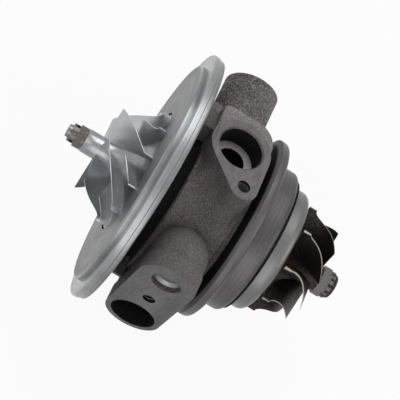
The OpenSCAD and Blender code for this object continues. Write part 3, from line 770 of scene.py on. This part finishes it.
class CARTRIDGE_OT_cast_blends(bpy.types.Operator):
    """Add the casting's fillets and shoulder, and the threads of its tapped holes"""
    bl_idname = "cartridge.cast_blends"
    bl_label = "Cast blends"

    def execute(self, context):
        sizes = context.scene.cartridge_sizes
        inlet = link_walk(sizes.inlet_boss_r / MM, sizes.ear_r / MM, sizes.ear_reach / MM,
                          math.radians(90) + sizes.ear_turn)
        drain = link_walk(DRAIN_BOSS_R, DRAIN_BOSS_R, DRAIN_BOSS_LENGTH, math.radians(-90))
        drain = [(x, y + sizes.drain_low / MM, nx, ny) for x, y, nx, ny in drain]
        stub = round_walk(sizes.stub_high / MM, sizes.stub_r / MM)
        self.blend("inlet_blend", inlet, sizes.inlet_lean, INLET_BLEND_R, INLET_FACE)
        self.blend("stub_blend", stub, math.radians(90), STUB_BLEND_R, -HOUSING_LOW.y / MM)
        self.blend("drain_blend", drain, math.radians(-90), DRAIN_BLEND_R, HOUSING_HIGH.y / MM,
                   DRAIN_FAR_SIDE)
        self.shoulder(sizes.inlet_lean)
        self.thread("inlet_thread", MOUNTS["inlet_screw"])
        self.thread("drain_thread", MOUNTS["drain_screw"])
        return {"FINISHED"}

    def shoulder(self, lean):
        """The flat-topped shoulder of the casting between the inlet boss and the stub, in a lighter copy of
        the cast skin: painted light.
        """
        front, rear = BARREL_FRONT - PORT_X, BARREL_REAR - PORT_X
        inner_r = INLET_R + SHOULDER_WALL
        outline = [(front, 0.0, 1.0, 0.0)]
        for cx, r, start in ((front - SHOULDER_FRONT_R, SHOULDER_FRONT_R, 0),
                             (rear + SHOULDER_REAR_R, SHOULDER_REAR_R, -90)):
            for i in range(int(90 / ARC_STEP) + 1):
                a = math.radians(start - ARC_STEP * i)
                outline.append((cx + r * math.cos(a), SHOULDER_FAR + r + r * math.sin(a),
                                math.cos(a), math.sin(a)))
        outline.append((rear, 0.0, -1.0, 0.0))
        for i in range(int(180 / ARC_STEP) + 1):
            a = math.radians(180 + ARC_STEP * i)
            outline.append((inner_r * math.cos(a), inner_r * math.sin(a), 0.0, 0.0))
        levels = [(SHOULDER_FOOT, 0.0)]
        levels += [(SHOULDER_TOP - SHOULDER_EDGE * (1 - math.sin(a)), SHOULDER_EDGE * (1 - math.cos(a)))
                   for a in quarter(6)]
        points = [lean_over(x - nx * inset, y - ny * inset, high, lean)
                  for high, inset in levels for x, y, nx, ny in outline]
        n = len(outline)
        faces = [(k * n + (i + 1) % n, k * n + i, (k + 1) * n + i, (k + 1) * n + (i + 1) % n)
                 for k in range(len(levels) - 1) for i in range(n)]
        last = (len(levels) - 1) * n
        faces += [tuple(range(n)), tuple(last + i for i in reversed(range(n)))]
        shape = Shape()
        shape.add(points, faces)
        shape.build("inlet_shoulder", "housing", None, ("shoulder painted light",))

    def thread(self, name, mount):
        """The ridge of a tapped hole's thread, in a darker copy of machined iron: painted shade."""
        shape = Shape()
        shape.coil(Vector(mount["pos_m"]) / MM, Vector(mount["axis"]), mount["dims"]["r_mm"], THREAD_DEPTH)
        shape.build(name, "housing", None, ("thread painted shade",))

    def blend(self, name, walk, lean, radius, face, far_side=NO_FAR_SIDE):
        """A fillet that fades where the barrel ends or past the far side, and stays below the boss's face."""
        barrel_r = bpy.context.scene.cartridge_sizes.barrel_r / MM
        front, rear = BARREL_FRONT - PORT_X, BARREL_REAR - PORT_X
        rows = []
        for x, y, nx, ny in walk:
            room = radius
            if nx > 0.01:
                room = min(room, (front - x) / nx)
            if nx < -0.01:
                room = min(room, (rear - x) / nx)
            if y < far_side + BLEND_FADE:
                room = min(room, radius * (y - far_side) / BLEND_FADE)
            reach = max(BLEND_LEAST, room - BLEND_LEAST)
            rise = min(reach, face - BLEND_SINK - math.sqrt(barrel_r ** 2 - y ** 2))
            section = [(-BLEND_TUCK, rise)]
            section += [(reach * (1 - math.cos(a)), rise * (1 - math.sin(a))) for a in quarter(10)]
            section += [(reach, -BLEND_SINK), (-BLEND_TUCK, -BLEND_SINK)]
            row = []
            for out, height in section:
                px, py = x + nx * out, y + ny * out
                height += math.sqrt(max(barrel_r ** 2 - py ** 2, 1.0))
                row.append(lean_over(px, py, height, lean))
            rows.append(row)
        shape = Shape()
        n = len(rows[0])
        count = len(rows)
        faces = [(k * n + i, (k + 1) % count * n + i, (k + 1) % count * n + (i + 1) % n, k * n + (i + 1) % n)
                 for k in range(count) for i in range(n)]
        shape.add([point for row in rows for point in row], faces)
        shape.build(name, "housing", None, ("cast skin",))


def leave(start, stop, m):
    """Along a quarter ellipse, the coordinate that changes slowly at the start."""
    return start + (stop - start) * (1 - math.cos(math.radians(90 * m)))


def arrive(start, stop, m):
    """Along a quarter ellipse, the coordinate that changes slowly at the end."""
    return stop + (start - stop) * (1 - math.sin(math.radians(90 * m)))


def between(root, tip, s):
    """Radius and x at share s of the way from a blade's root to its tip."""
    return [low + s * (high - low) for low, high in zip(root, tip)]


class CARTRIDGE_OT_compressor_wheel(bpy.types.Operator):
    """Build the milled compressor wheel with its full blades and splitters"""
    bl_idname = "cartridge.compressor_wheel"
    bl_label = "Compressor wheel"

    def execute(self, context):
        sizes = context.scene.cartridge_sizes
        exit_r, inducer_r, hub_r = sizes.exit_r / MM, sizes.inducer_r / MM, sizes.hub_r / MM
        rim = WHEEL_BACK + sizes.rim_h / MM
        front = rim + sizes.blade_h / MM
        exit_h = sizes.exit_h / MM

        def hub(m):
            return leave(hub_r, exit_r, m), arrive(front, rim, m)

        def place(m, s):
            root = leave(hub_r - WHEEL_ROOT[0], exit_r, m), arrive(front, rim - WHEEL_ROOT[1], m)
            tip = leave(inducer_r, exit_r, m), arrive(front, rim + exit_h, m)
            return between(root, tip, s)

        def turn(m):
            return -sizes.wrap * (2 * m - m * m)

        def thick(s, along):
            full = BLADE_T - BLADE_TAPER * s + FLARE * max(0.0, FLARE_SPAN - s) ** FLARE_POWER
            return full * min(1.0, BLADE_EDGE + BLADE_GROWTH * along)

        shape = Shape()
        profile = [(WHEEL_BORE_R, WHEEL_BACK), (exit_r - RIM_EDGE, WHEEL_BACK),
                   (exit_r, WHEEL_BACK + RIM_EDGE), (exit_r, rim)]
        profile += [hub(1 - i / HUB_STEPS) for i in range(1, HUB_STEPS + 1)]
        profile += [(hub_r, WHEEL_FRONT - HUB_EDGE), (hub_r - HUB_EDGE, WHEEL_FRONT),
                    (WHEEL_BORE_R, WHEEL_FRONT)]
        shape.revolve(profile, ACCENT, bored=True)
        step = 2 * math.pi / sizes.blades
        for k in range(sizes.blades):
            phase = WHEEL_PHASE + k * step
            shape.blade(place, turn, thick, 0.0, phase)
            shape.blade(place, turn, thick, SPLITTER_START, phase - step / 2)
        # The blades' edge strips carry the painted highlight
        shape.build("compressor_wheel_milled", "rotor", "compressor_wheel",
                    ("milled aluminium", "blade edge highlight", "turned hub"))
        return {"FINISHED"}


class CARTRIDGE_OT_turbine_wheel(bpy.types.Operator):
    """Build the cast turbine wheel with its blades and castellated nose"""
    bl_idname = "cartridge.turbine_wheel"
    bl_label = "Turbine wheel"

    def execute(self, context):
        sizes = context.scene.cartridge_sizes
        inlet_r, outlet_r, hub_r = sizes.turbine_r / MM, sizes.outlet_r / MM, sizes.turbine_hub_r / MM
        disc_r, blade_h = sizes.disc_r / MM, sizes.turbine_h / MM
        back, outlet = TURBINE_BACK, TURBINE_BACK - blade_h

        def hub(m):
            return arrive(disc_r, hub_r, m), leave(back - DISC_H, outlet, m)

        def place(m, s):
            root = arrive(inlet_r, hub_r - TURBINE_ROOT[0], m), leave(back - TURBINE_ROOT[1], outlet, m)
            tip = arrive(inlet_r, outlet_r, m), leave(back - TURBINE_INLET_W, outlet + TURBINE_TRAIL, m)
            return between(root, tip, s)

        def turn(m):
            return -sizes.turbine_wrap * m ** TURBINE_SWEEP_POWER

        def thick(s, along):
            full = TURBINE_T - TURBINE_TAPER * s
            return full * min(1.0, TURBINE_EDGE + TURBINE_GROWTH * (1 - along))

        shape = Shape()
        profile = [(CAP_R, back), (disc_r - DISC_EDGE, back), (disc_r, back - DISC_EDGE)]
        profile += [hub(i / HUB_STEPS) for i in range(HUB_STEPS + 1)]
        profile += [(hub_r, TURBINE_END + NOSE_HUB)]
        shape.revolve(profile)
        self.nose(shape, TURBINE_END, sizes.nose_r / MM)
        step = 2 * math.pi / sizes.turbine_blades
        for k in range(sizes.turbine_blades):
            shape.blade(place, turn, thick, 0.0, TURBINE_PHASE + k * step)
        # The blades' edge strips carry the painted highlight
        shape.build("turbine_wheel_cast", "rotor", "turbine_wheel",
                    ("hot alloy", "turbine edge highlight", "nose flats"))
        return {"FINISHED"}

    def nose(self, shape, end, radius):
        """A dark round nose with six flats, each with two balancing teeth at its end."""
        flat = radius * math.cos(math.radians(30))
        core = flat - NOSE_INSET
        rounded = [(core - NOSE_ROUND * (1 - math.sin(a)), end + NOSE_ROUND * (1 - math.cos(a)))
                   for a in quarter(6)]
        shape.revolve([(CAP_R, end)] + rounded + [(core, end + NOSE_CORE)])
        corners = [math.radians(60 * k) for k in range(6)]
        hexagon = [(radius * math.sin(a), -radius * math.cos(a)) for a in corners]
        shape.prism(hexagon, end + HEXAGON[0], end + HEXAGON[1], ACCENT)
        low = flat - TOOTH_H
        for k in range(6):
            a = math.radians(60 * k + 30)
            for middle in (-TOOTH_OFF, TOOTH_OFF):
                first, last = middle - TOOTH_HALF, middle + TOOTH_HALF
                tooth = [(first, low), (last, low), (last, flat), (first, flat)]
                turned = [(n * math.sin(a) + t * math.cos(a), -n * math.cos(a) + t * math.sin(a))
                          for t, n in tooth]
                shape.prism(turned, end + TOOTH[0], end + TOOTH[1], ACCENT)


class CARTRIDGE_OT_stage(bpy.types.Operator):
    """Set the pale floor, the soft lights and the camera"""
    bl_idname = "cartridge.stage"
    bl_label = "Stage"

    def execute(self, context):
        scene = context.scene
        scene.view_settings.view_transform = "Standard"
        self.lay_floor(scene)
        self.set_world(scene)
        self.hang_lights(scene)
        self.place_camera(scene)
        return {"FINISHED"}

    def lay_floor(self, scene):
        """A matt floor that takes the object's shadow and looks white where it is seen."""
        mesh = bpy.data.meshes.new("floor")
        low = SOLID_BOX[0][2] - MM
        corners = [(x * FLOOR_HALF, y * FLOOR_HALF, low) for x, y in ((-1, -1), (1, -1), (1, 1), (-1, 1))]
        mesh.from_pydata(corners, [], [(0, 1, 2, 3)])
        floor = bpy.data.objects.new("floor", mesh)
        scene.collection.objects.link(floor)
        material = bpy.data.materials.new("pale floor")
        material.use_nodes = True
        graph = Graph(material.node_tree)
        material.node_tree.nodes.clear()
        matt = graph.add("ShaderNodeBsdfDiffuse", {"Color": (0.8, 0.8, 0.8, 1)}).outputs[0]
        glow = graph.add("ShaderNodeEmission", {"Color": (1, 1, 1, 1), "Strength": 1.0}).outputs[0]
        share = graph.math("MULTIPLY", graph.seen(), FLOOR_GLOW)
        mixed = graph.add("ShaderNodeMixShader", {0: share, 1: matt, 2: glow}).outputs[0]
        graph.add("ShaderNodeOutputMaterial", {"Surface": mixed})
        mesh.materials.append(material)

    def set_world(self, scene):
        """White where it is seen, and a soft light that grows towards the top."""
        world = bpy.data.worlds.new("studio")
        scene.world = world
        world.use_nodes = True
        graph = Graph(world.node_tree)
        world.node_tree.nodes.clear()
        place = graph.add("ShaderNodeTexCoord").outputs["Generated"]
        up = graph.add("ShaderNodeSeparateXYZ", {0: place}).outputs["Z"]
        level = graph.ramp(up, *SKY_RANGE, *SKY_LEVELS)
        strength = graph.math("MAXIMUM", graph.seen(), level)
        light = graph.add("ShaderNodeBackground", {"Color": (1, 1, 1, 1), "Strength": strength}).outputs[0]
        graph.add("ShaderNodeOutputWorld", {"Surface": light})

    def hang_lights(self, scene):
        """Square lamps that face the cartridge, each with its place, size and power."""
        middle = Vector((-0.02, 0.0, 0.0))
        for name, place, size, power in (
            ("overhead softbox", (0.10, -0.45, 0.75), 0.60, 3.2),
            ("front softbox", (-0.05, 0.80, 0.30), 0.90, 2.9),
            ("side softbox", (0.55, 0.20, 0.45), 0.50, 0.8),
            ("rear softbox", (-0.60, 0.05, 0.40), 0.50, 1.2),
        ):
            lamp = bpy.data.lights.new(name, "AREA")
            lamp.shape = "SQUARE"
            lamp.size = size
            lamp.energy = power
            obj = bpy.data.objects.new(name, lamp)
            obj.location = place
            obj.rotation_euler = (middle - Vector(place)).to_track_quat("-Z", "Y").to_euler()
            scene.collection.objects.link(obj)

    def place_camera(self, scene):
        """The camera in the photo's view."""
        back = Vector(CAMERA_BACK).normalized()
        right = Vector(CAMERA_RIGHT)
        right = (right - back * right.dot(back)).normalized()
        turn = Matrix((right, back.cross(right), back)).transposed()
        lens = bpy.data.cameras.new("camera")
        lens.lens = LENS_MM
        lens.sensor_width = SENSOR_MM
        lens.clip_start = 0.01
        camera = bpy.data.objects.new("camera", lens)
        camera.matrix_world = Matrix.Translation(CAMERA_PLACE) @ turn.to_4x4()
        scene.collection.objects.link(camera)
        scene.camera = camera


class CARTRIDGE_PT_panel(bpy.types.Panel):
    """Lists the steps that dress the cartridge"""
    bl_idname = "CARTRIDGE_PT_panel"
    bl_label = "Cartridge"
    bl_space_type = "VIEW_3D"
    bl_region_type = "UI"
    bl_category = "Cartridge"

    def draw(self, context):
        for step in STEPS:
            self.layout.operator(step.bl_idname)


STEPS = (
    CARTRIDGE_OT_finishes,
    CARTRIDGE_OT_housing,
    CARTRIDGE_OT_cast_blends,
    CARTRIDGE_OT_backplate,
    CARTRIDGE_OT_fittings,
    CARTRIDGE_OT_compressor_wheel,
    CARTRIDGE_OT_turbine_wheel,
    CARTRIDGE_OT_stage,
)
CLASSES = (CartridgeSizes, CartridgeFinishes) + STEPS + (CARTRIDGE_PT_panel,)


def register():
    for cls in CLASSES:
        bpy.utils.register_class(cls)
    bpy.types.Scene.cartridge_sizes = PointerProperty(type=CartridgeSizes)
    bpy.types.Scene.cartridge_finishes = PointerProperty(type=CartridgeFinishes)


def unregister():
    del bpy.types.Scene.cartridge_finishes
    del bpy.types.Scene.cartridge_sizes
    for cls in reversed(CLASSES):
        bpy.utils.unregister_class(cls)


def main():
    register()
    bpy.ops.cartridge.finishes()
    bpy.ops.cartridge.housing()
    bpy.ops.cartridge.cast_blends()
    bpy.ops.cartridge.backplate()
    bpy.ops.cartridge.fittings()
    bpy.ops.cartridge.compressor_wheel()
    bpy.ops.cartridge.turbine_wheel()
    bpy.ops.cartridge.stage()


if __name__ == "__main__":
    main()
